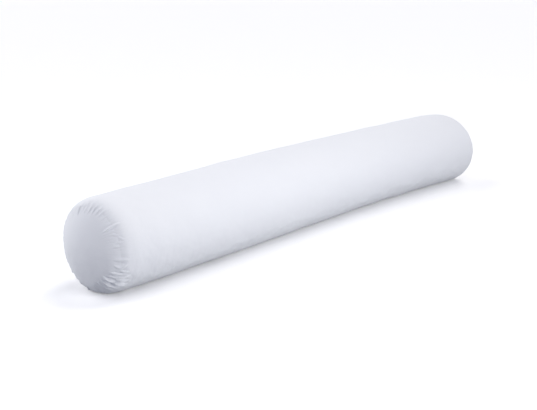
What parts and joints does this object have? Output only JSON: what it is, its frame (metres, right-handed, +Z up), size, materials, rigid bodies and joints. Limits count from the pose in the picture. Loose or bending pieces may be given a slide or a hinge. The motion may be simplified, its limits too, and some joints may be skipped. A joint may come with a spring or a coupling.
{
  "type": "body pillow",
  "caption": "Long round body pillow: a filled cotton tube with a slight bow and a softly domed round panel gathered into each end by fine puckers.",
  "frame": {"origin": "on the ground under the middle of the pillow's box", "axes": "+X along the pillow from its plump end to its slumped end, +Y to its side, +Z up"},
  "size_m": [1.4014, 0.2168, 0.194],
  "materials": {
    "tube_cotton": "smooth close-woven white cotton, matt with a faint sheen",
    "end_cotton": "the same cotton, gathered into fine puckers at its rim"
  },
  "bodies": {
    "root": {"pillow_body": "tube_cotton", "end_panel_near": "end_cotton", "end_panel_far": "end_cotton"}
  },
  "joints": []
}
